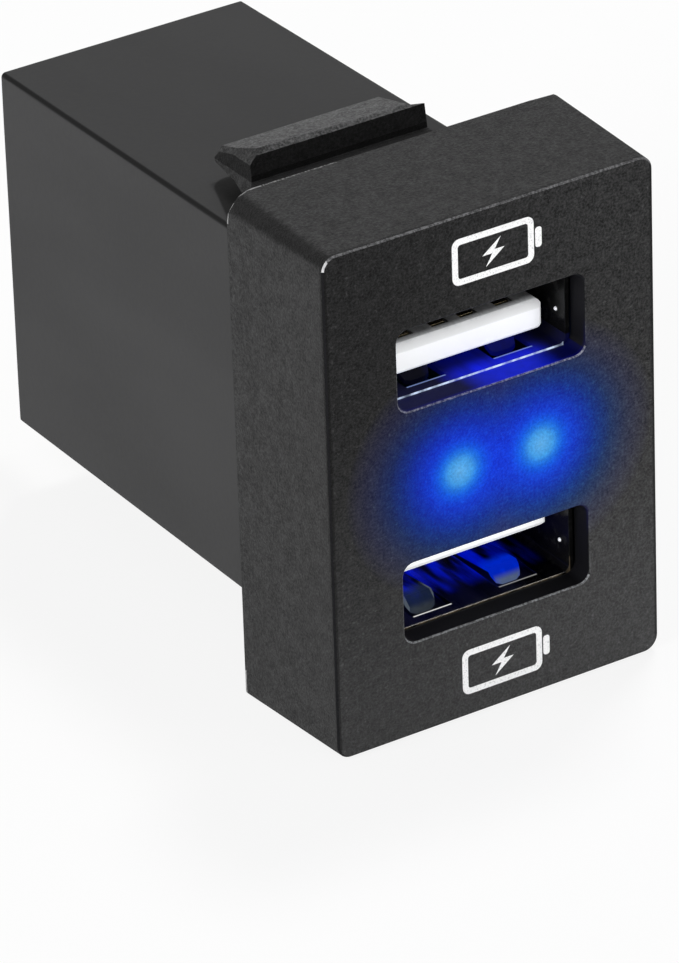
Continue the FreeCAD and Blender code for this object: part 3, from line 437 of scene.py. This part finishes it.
ink = Finish("white_ink")
pinhole = ink.noise(9.0, detail=2.0)
ink.set(
    Base_Color=pinhole.rise(0.25, 0.5).blend(INK_THIN, INK_WHITE),
    Roughness=0.55 + 0.2 * pinhole,
    Normal=ink.bump(pinhole, 0.01),
)
for port, up in (("upper", MARK_UP), ("lower", -MARK_UP)):
    shapes = {
        "case": [round_box(MARK_ACROSS, up, *CASE_OUTSIDE), round_box(MARK_ACROSS, up, *CASE_INSIDE)],
        "knob": [round_box(KNOB_ACROSS, up, *KNOB)],
        "bolt": [[(MARK_ACROSS + x, up + z) for x, z in BOLT]],
    }
    for part, outlines in shapes.items():
        print_film = film(outlines, FACE - INK, INK * 0.9)
        mark = add_piece(f"{port}_mark_{part}", print_film)
        mark.data.materials.append(ink.material)


# Rear housing
# The box behind the panel holds the boards. It is moulded in smooth dark grey nylon with a satin
# skin, and clips into the bezel's collar. A shadow is painted black on its top beside the upper latch.
HOUSING_TOP = 12.0
SHADOW_END = 9.75
SHADOW_CORNER = 1.0
SHADOW_LEAN = 0.39
SHADOW_SIDE = -10.43
SHADOW_RIGHT = -3.0
SHADOW_SOFT = 0.15
SATIN_DARK = (0.0260, 0.0260, 0.0265, 1)
SATIN_LIGHT = (0.0335, 0.0335, 0.034, 1)
PAINTED_SHADE_BLACK = (0.001, 0.001, 0.001, 1)


def give(finish, *names):
    """Give CAD nodes this finish."""
    for name in names:
        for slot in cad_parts[name].material_slots:
            slot.material = finish.material


satin = Finish("satin_nylon")
flow = satin.noise(0.12, detail=3.0, stretch=(1, 0.35, 1))
skin = satin.noise(3.0, detail=2.0)
across, along, upright = (abs(satin.facing(axis)) for axis in "XYZ")
# Painted shade: the housing darker on its rounded edges
broken_edge = (across * upright + along * upright + along * across).rise(0.10, 0.40)
smooth = (0.7 * flow + 0.3 * skin).rise(0.3, 0.7).blend(SATIN_DARK, SATIN_LIGHT)
# The upper latch's painted shadow on the housing's top: black, with a rounded corner
inside = (satin.x - SHADOW_LEAN * satin.y - SHADOW_SIDE, SHADOW_END - satin.y)
short = [satin.wire.math("MAXIMUM", SHADOW_CORNER - way, 0.0) for way in inside]
latch_shadow = 1 - short[0].length(short[1]).rise(SHADOW_CORNER - SHADOW_SOFT, SHADOW_CORNER + SHADOW_SOFT)
latch_shadow = latch_shadow * (satin.z > HOUSING_TOP) * (satin.x < SHADOW_RIGHT)
satin.set(
    Base_Color=(0.82 * broken_edge + latch_shadow).rise(0.0, 1.0).blend(smooth, PAINTED_SHADE_BLACK),
    Roughness=0.50 + 0.10 * flow + 0.05 * skin,
    Specular_IOR_Level=0.08,
    Normal=satin.bump(skin, 0.006, rounding=0.3),
)
give(satin, "rear_housing")


# Port shells
# Each receptacle's shell is folded from thin nickel-plated steel sheet, with spring fingers cut into
# its floor and roof, and a dimple pressed into each side. The lamps' blue light on it is painted as
# emission.
SHELL_FRONT = -8.35
SHELL_SIDE = 5.9
SHELL_FLOOR = 2.0
SHEET_LINE = 2.68
WINDOW_FRONT = -7.5
WINDOW_HALF = 1.36
WINDOW_LINE = 0.12
FINGER_ACROSS = 3.06
FINGER_HALF = 1.03
FINGER_RIM = 0.88
FINGER_FLOOR = 2.5
FINGER_TOP = -8.8
FINGER_TIP = -6.7
FINGER_BEND = -5.88
SHEET_DARK = (0.10, 0.10, 0.10, 1)
SHEET_LIGHT = (0.17, 0.165, 0.16, 1)
SHEET_SHADED = (0.004, 0.004, 0.006, 1)
SIDE_WALL_SHADE = (0.006, 0.006, 0.006, 1)
SHEET_LAMPLIGHT_BLUE = (0.0, 0.008, 0.66, 1)
LINE_COLD = (0.62, 0.74, 0.98, 1)
LINE_WARM = (0.14, 0.11, 0.07, 1)
WINDOW_COLD = (0.30, 0.42, 0.85, 1)
WINDOW_WARM = (0.60, 0.60, 0.58, 1)
TIP_GREY = (0.10, 0.14, 0.24, 1)
TIP_BLUE = (0.0, 0.022, 0.60, 1)
TIP_RIM = (0.14, 0.17, 0.20, 1)
SHADED_TIP = (0.034, 0.042, 0.052, 1)
SHADED_BACK = (0.010, 0.018, 0.045, 1)

nickel = Finish("nickel_sheet")
roll = nickel.noise(1.2, detail=2.0, stretch=(4, 0.5, 4))
streak = nickel.noise(0.9, detail=2.0, stretch=(1.5, 0.25, 1.5)).rise(0.32, 0.74)
patchy = nickel.noise(1.4, detail=4.0).rise(0.45, 0.75)
dash = nickel.noise(1.1, detail=3.0, stretch=(1, 0, 0)).rise(0.35, 0.60)
upper = nickel.z > 0.0
right = nickel.x > 0.0
side_wall = abs(nickel.x) > SHELL_SIDE
upper_floor = upper * (nickel.z < PORT_UP - SHELL_FLOOR)
lower_floor = (1 - upper) * (nickel.z < 0.4 - PORT_UP - SHELL_FLOOR)
# The lower fingers: the bent tip in front, and the strip of sheet above the floor's level behind it
from_finger = abs(abs(nickel.x) - FINGER_ACROSS)
bent_or_raised = ((nickel.y < FINGER_BEND) + (nickel.z > -PORT_UP - FINGER_FLOOR)).rise(0.0, 1.0)
finger = (1 - upper) * (from_finger < FINGER_HALF) * (nickel.z < FINGER_TOP) * (nickel.y > FINGER_TIP)
finger = finger * bent_or_raised
# Painted blue lamplight on the two floors, brightest near the right lamp above, streaky further in below
upper_hump = 0.03 + 0.97 * nickel.x.hump(BLUE_CENTRE - 0.4, 4.0, 0.0, 1.1)
upper_lamplight = upper_floor * upper_hump * (1 - 0.85 * nickel.y.rise(-8.3, -6.6))
lower_lamplight = lower_floor * nickel.x.hump(-1.5, 6.5, 0.1, 1.4) * nickel.y.rise(-6.8, -5.0) * streak
painted_light = (upper_lamplight * (0.7 + 0.4 * streak) + 0.75 * lower_lamplight).blend(BLACK, SHEET_LAMPLIGHT_BLUE)
# Painted highlights: the sheet's cut front edges shine as thin, dashed lines
front_edge = nickel.y < SHELL_FRONT + 0.02
upper_line = front_edge * upper_floor * (nickel.z > PORT_UP - SHEET_LINE) * (nickel.x < 6.1)
lower_line = front_edge * lower_floor * (nickel.z > -PORT_UP - SHEET_LINE) * (nickel.x < 6.3)
painted_light = (upper_line * (0.15 + 0.85 * dash)).blend(painted_light, LINE_COLD)
painted_light = (lower_line * 0.5 * dash).blend(painted_light, LINE_WARM)
# Painted light on the lower fingers' tips: the right one lit blue behind its bend, the left in shade, its
# rim lit
behind_bend = nickel.y.rise(-6.70, -6.25)
right_tip = behind_bend.blend(TIP_GREY, TIP_BLUE)
left_tip = behind_bend.blend(SHADED_TIP, SHADED_BACK)
left_tip = ((from_finger > FINGER_RIM) * 0.6).blend(left_tip, TIP_RIM)
tip_painted_light = finger * (1 - nickel.y.rise(-5.6, -4.4)) * (0.75 + 0.25 * patchy)
painted_light = tip_painted_light.blend(painted_light, right.blend(left_tip, right_tip))
# Painted highlights on the front edges of the fingers' windows, brighter on the left
window_edge = (from_finger < WINDOW_HALF) * nickel.y.within(WINDOW_FRONT - WINDOW_LINE, WINDOW_FRONT)
left_brighter = 0.35 + 0.65 * (nickel.x < 0.0)
painted_light = (window_edge * lower_floor * left_brighter).blend(painted_light, WINDOW_WARM)
painted_light = (window_edge * upper_floor * 0.45).blend(painted_light, WINDOW_COLD)
# Painted shade: the sheet dark, darker on the upper floor and lower fingers, near black on the side walls
sheet = roll.blend(SHEET_DARK, SHEET_LIGHT)
sheet = (upper_floor + finger).rise(0.0, 1.0).blend(sheet, SHEET_SHADED)
sheet = (side_wall * (1 - 0.12 * patchy)).blend(sheet, SIDE_WALL_SHADE)
nickel.set(
    Base_Color=sheet,
    Metallic=1.0 - 0.9 * side_wall - 0.9 * upper_floor * (1 - side_wall),
    Roughness=0.16 + 0.10 * roll + 0.45 * upper_floor,
    Specular_IOR_Level=0.1,
    Normal=nickel.bump(roll, 0.001, rounding=0.06),
    Emission_Color=painted_light,
    Emission_Strength=1.0,
)
give(nickel, "upper_port_shell", "lower_port_shell")

DIMPLE = 0.13
DIMPLE_DEPTH = 0.12
SHELL_INSIDE = 6.25
DIMPLES = {"upper_shell_dimples": (-7.41, 6.97), "lower_shell_dimples": (-7.39, -8.56)}

# The dimples' glint is painted: a light colour and a grey emission
pressed = Finish("pressed_nickel")
shine = pressed.noise(6.0)
pressed.set(
    Base_Color=shine.blend((0.60, 0.60, 0.60, 1), (0.75, 0.75, 0.74, 1)),
    Metallic=0.6,
    Roughness=0.25 + 0.1 * shine,
    Emission_Color=shine.blend((0.40, 0.41, 0.43, 1), (0.62, 0.63, 0.66, 1)),
    Emission_Strength=1.0,
)
for name, (forward, up) in DIMPLES.items():
    domes = bmesh.new()
    for side in (-1, 1):
        size = Matrix.Diagonal((DIMPLE_DEPTH * MM, DIMPLE * MM, DIMPLE * MM, 1))
        middle = Matrix.Translation(Vector((side * SHELL_INSIDE, forward, up)) * MM)
        bmesh.ops.create_uvsphere(domes, u_segments=12, v_segments=8, radius=1.0, matrix=middle @ size)
    dimples = add_piece(name, domes)
    dimples.data.shade_smooth()
    dimples.data.materials.append(pressed.material)


# Port tongues
# The white insulators that carry the contacts are moulded from glass-filled nylon, and have an open
# groove for each contact. Their tips carry a painted highlight, and their tops and grooves painted shade.
TONGUE_TIP = -7.05
CONTACT_FACE = 7.61
GROOVE_DEPTH = 0.28
GROOVES_HALF = 4.2
GROOVE_START = 0.9
LIT_UNDER = 0.45
SHADE_FROM = -0.10
SHADE_TO = 1.10
BRIGHT_WHITE = (0.96, 0.96, 0.96, 1)
SHADED_WHITE = (0.33, 0.34, 0.35, 1)
FLECK_GREY = (0.20, 0.205, 0.21, 1)
GROOVE_PAINTED_SHADE = (0.07, 0.07, 0.07, 1)
TIP_SHINE = (0.34, 0.35, 0.36, 1)

white = Finish("white_insulator")
mottle = white.noise(2.5, detail=3.0)
flow = white.noise(0.8, detail=2.0, stretch=(1, 0.4, 1))
flecks = white.noise(5.0, detail=3.0, stretch=(1, 0.5, 1)).rise(0.35, 0.65)
# Painted shade: the grooves dark grey
in_groove = abs(white.z).within(CONTACT_FACE - GROOVE_DEPTH - 0.02, CONTACT_FACE - 0.02)
in_groove = in_groove * (white.y > TONGUE_TIP + GROOVE_START) * (abs(white.x) < GROOVES_HALF)
# Painted shade over the top behind the tip, with grey flecks in it; the underside by the tip stays light
under = (white.facing("Z") < -0.1) * (white.y < TONGUE_TIP + LIT_UNDER)
behind = white.y.rise(TONGUE_TIP + SHADE_FROM, TONGUE_TIP + SHADE_TO) * (1 - under)
shade = 0.1 * mottle + 0.9 * behind * (0.35 + 0.65 * flow.rise(0.2, 0.8))
white_and_painted_shade = shade.blend(BRIGHT_WHITE, SHADED_WHITE)
white_and_painted_shade = (0.40 * flecks * behind).blend(white_and_painted_shade, FLECK_GREY)
# The tip's painted highlight is an emission
white.set(
    Base_Color=(in_groove * (0.45 + 0.55 * flecks)).blend(white_and_painted_shade, GROOVE_PAINTED_SHADE),
    Roughness=0.40 + 0.12 * mottle,
    Normal=white.bump(mottle, 0.006, rounding=0.06),
    Emission_Color=(1 - behind).blend(BLACK, TIP_SHINE),
    Emission_Strength=1.0,
)
give(white, "upper_port_tongue", "lower_port_tongue")


# Contacts and pins
# Copper-alloy strips and square pins with a thin gold plating. The strips lie in the tongues'
# grooves, and the pins join the two boards.
gold = Finish("gold_plating")
wipe = gold.noise(2.0, detail=3.0, stretch=(1, 0.3, 1))
gold.set(
    Base_Color=wipe.blend((0.50, 0.40, 0.24, 1), (0.66, 0.55, 0.36, 1)),
    Metallic=1.0,
    Roughness=0.18 + 0.15 * wipe,
    Normal=gold.bump(wipe, 0.003, rounding=0.05),
)
give(gold, "upper_port_contacts", "lower_port_contacts", "link_pins")


# Lamps
# Two blue lamps of clear tinted resin stand right behind the face, on long tinned legs that are
# soldered into the front board.
resin = Finish("lamp_resin")
depth = resin.y.rise(-9.2, -3.9)
resin.set(
    Base_Color=depth.blend((0.25, 0.50, 0.90, 1), (0.08, 0.20, 0.75, 1)),
    Roughness=0.12 + 0.08 * resin.noise(1.5),
    Coat_Weight=0.3,
    Emission_Color=depth.blend((0.15, 0.45, 1.0, 1), (0.0, 0.02, 0.30, 1)),
    Emission_Strength=1.0,
)
give(resin, "left_lamp", "right_lamp")
tin = Finish("tinned_wire")
dull = tin.noise(3.0, detail=3.0)
tin.set(
    Base_Color=dull.blend((0.58, 0.58, 0.57, 1), (0.74, 0.74, 0.72, 1)),
    Metallic=1.0,
    Roughness=0.30 + 0.20 * dull,
    Normal=tin.bump(dull, 0.004),
)
give(tin, "left_lamp_legs", "right_lamp_legs", "converter_leads")


# Circuit boards
# Glass-fibre laminate under green solder mask, with the copper tracks showing through it as
# lighter lines.
board = Finish("solder_mask")
lane = board.noise(0.25, detail=1.0, stretch=(1, 0.1, 1))
track = board.wire.math("FRACT", lane * 9.0)
on_track = track.rise(0.30, 0.36) - track.rise(0.64, 0.70)
weave = board.noise(4.0, detail=2.0)
board.set(
    Base_Color=on_track.blend((0.012, 0.085, 0.035, 1), (0.030, 0.160, 0.062, 1)),
    Roughness=0.28 + 0.15 * weave,
    Normal=board.bump(on_track * 0.7 + weave * 0.3, 0.03),
)
give(board, "front_board", "power_board")


# Spade terminals
# Two 6.3 mm blades stamped from brass strip, fine lines along the rolling direction and a slight
# tarnish, stand out of slots in the housing's back.
brass = Finish("rolled_brass")
lines = brass.noise(3.0, detail=3.0, stretch=(1, 0.08, 2))
tarnish = brass.noise(0.35, detail=3.0)
brass.set(
    Base_Color=tarnish.rise(0.35, 0.75).blend((0.74, 0.56, 0.27, 1), (0.52, 0.37, 0.17, 1)),
    Metallic=1.0,
    Roughness=0.24 + 0.18 * lines,
    Normal=brass.bump(lines, 0.006, rounding=0.06),
)
give(brass, "positive_blade", "negative_blade")


# Converter parts
# A choke, two cans, a chip, a diode and the small ceramic parts step the car's supply down to
# what the ports give.
ferrite = Finish("ferrite")
pits = ferrite.noise(3.0, detail=4.0)
ferrite.set(
    Base_Color=pits.blend((0.030, 0.029, 0.028, 1), (0.060, 0.058, 0.056, 1)),
    Roughness=0.55 + 0.2 * pits,
    Normal=ferrite.bump(pits, 0.02),
)
give(ferrite, "choke_core")

copper = Finish("enamelled_copper")
turns = copper.wire.math("SINE", copper.y * (2 * math.pi / 0.35))
copper.set(
    Base_Color=(turns * 0.5 + 0.5).blend((0.33, 0.09, 0.03, 1), (0.72, 0.27, 0.11, 1)),
    Metallic=0.85,
    Roughness=0.30,
    Normal=copper.bump(turns * 0.5 + 0.5, 0.12),
)
give(copper, "choke_winding")

can = Finish("can_aluminium")
ring = can.noise(2.0, detail=3.0, stretch=(1, 4, 1))
can.set(
    Base_Color=ring.blend((0.70, 0.70, 0.71, 1), (0.82, 0.82, 0.83, 1)),
    Metallic=1.0,
    Roughness=0.28 + 0.12 * ring,
    Normal=can.bump(ring, 0.004, rounding=0.1),
)
give(can, "input_capacitor", "output_capacitor")

package = Finish("package_plastic")
dust = package.noise(6.0, detail=3.0)
package.set(
    Base_Color=dust.blend((0.018, 0.018, 0.019, 1), (0.040, 0.040, 0.041, 1)),
    Roughness=0.45 + 0.2 * dust,
    Normal=package.bump(dust, 0.01, rounding=0.08),
)
give(package, "converter_chip", "catch_diode", "charge_controller", "capacitor_bases", "link_header")

ceramic = Finish("fired_ceramic")
fleck = ceramic.noise(5.0, detail=3.0)
ceramic.set(
    Base_Color=fleck.rise(0.3, 0.7).blend((0.36, 0.25, 0.14, 1), (0.52, 0.40, 0.26, 1)),
    Roughness=0.40 + 0.2 * fleck,
    Normal=ceramic.bump(fleck, 0.008),
)
give(ceramic, "filter_capacitors", "chip_resistors")


# Stage
# A plain white floor and world, three soft lamps, and the camera at the photograph's angle. The
# socket rests on the lower edge of its bezel.
CAMERA_PLACE = (-223.031, -346.507, 217.782)
CAMERA_RIGHT = (0.83673608, -0.54679735, -0.02975542)
CAMERA_UP = (0.28280648, 0.38495637, 0.87853804)
CAMERA_BACK = (-0.46892773, -0.7435195, 0.47674471)
FOCAL_PIXELS = 7833.12
FRAME_HEIGHT = 963

lens = bpy.data.cameras.new("camera")
lens.sensor_width = 36.0
lens.lens = FOCAL_PIXELS / FRAME_HEIGHT * lens.sensor_width
lens.clip_start = 0.01
camera = bpy.data.objects.new("camera", lens)
turned = Matrix((CAMERA_RIGHT, CAMERA_UP, CAMERA_BACK)).transposed().to_4x4()
camera.matrix_world = Matrix.Translation(Vector(CAMERA_PLACE) * MM) @ turned
bpy.context.scene.collection.objects.link(camera)
bpy.context.scene.camera = camera

HALF_FLOOR = 3.0
FLOOR_GREY = (0.8, 0.8, 0.8, 1)
FLOOR_SHINE = 0.86
WHITE = (1, 1, 1, 1)
floor_mesh = bpy.data.meshes.new("floor")
sides = ((-1, -1), (1, -1), (1, 1), (-1, 1))
corners = [(x * HALF_FLOOR, y * HALF_FLOOR, cad_low[2]) for x, y in sides]
floor_mesh.from_pydata(corners, [], [(0, 1, 2, 3)])
floor = bpy.data.objects.new("floor", floor_mesh)
bpy.context.scene.collection.objects.link(floor)


def straight_rays(wire):
    """1 for the rays that show a background: the camera's, and those off gloss and through glass."""
    rays = ("Is Camera Ray", "Is Glossy Ray", "Is Transmission Ray")
    camera_ray, gloss_ray, glass_ray = (wire.node("ShaderNodeLightPath", outlet=ray) for ray in rays)
    return wire.math("MAXIMUM", wire.math("MAXIMUM", camera_ray, gloss_ray), glass_ray)


paper = bpy.data.materials.new("floor_paper")
paper.use_nodes = True
wire = Wire(paper.node_tree)
paper.node_tree.nodes.remove(paper.node_tree.nodes["Principled BSDF"])
lit = wire.node("ShaderNodeBsdfDiffuse", {"Color": FLOOR_GREY})
plain = wire.node("ShaderNodeEmission", {"Color": WHITE, "Strength": 1.0})
mixed = wire.node("ShaderNodeMixShader", {0: straight_rays(wire) * FLOOR_SHINE, 1: lit, 2: plain})
wire.fill(paper.node_tree.nodes["Material Output"], {"Surface": mixed})
floor_mesh.materials.append(paper)

world = bpy.data.worlds.new("studio")
bpy.context.scene.world = world
world.use_nodes = True
wire = Wire(world.node_tree)
AMBIENT = 0.30
strength = straight_rays(wire) * (1.0 - AMBIENT) + AMBIENT
wire.fill(world.node_tree.nodes["Background"], {"Color": WHITE, "Strength": strength})


def soft_lamp(name, place, aim, size, power):
    """A square lamp at a place, turned to face a point, all in millimetres."""
    light = bpy.data.lights.new(name, "AREA")
    light.size = size * MM
    light.energy = power
    lamp = bpy.data.objects.new(name, light)
    lamp.location = Vector(place) * MM
    lamp.rotation_euler = (Vector(aim) - Vector(place)).to_track_quat("-Z", "Y").to_euler()
    bpy.context.scene.collection.objects.link(lamp)


soft_lamp("key_light", place=(250, 190, 640), aim=(0, 5, 0), size=150, power=2.85)
soft_lamp("side_light", place=(-800, -60, 130), aim=(0, 5, 0), size=500, power=10.1)
soft_lamp("front_light", place=(300, -700, 20), aim=(0, 0, 0), size=300, power=3.6)

scene = bpy.context.scene
scene.view_settings.view_transform = "Standard"
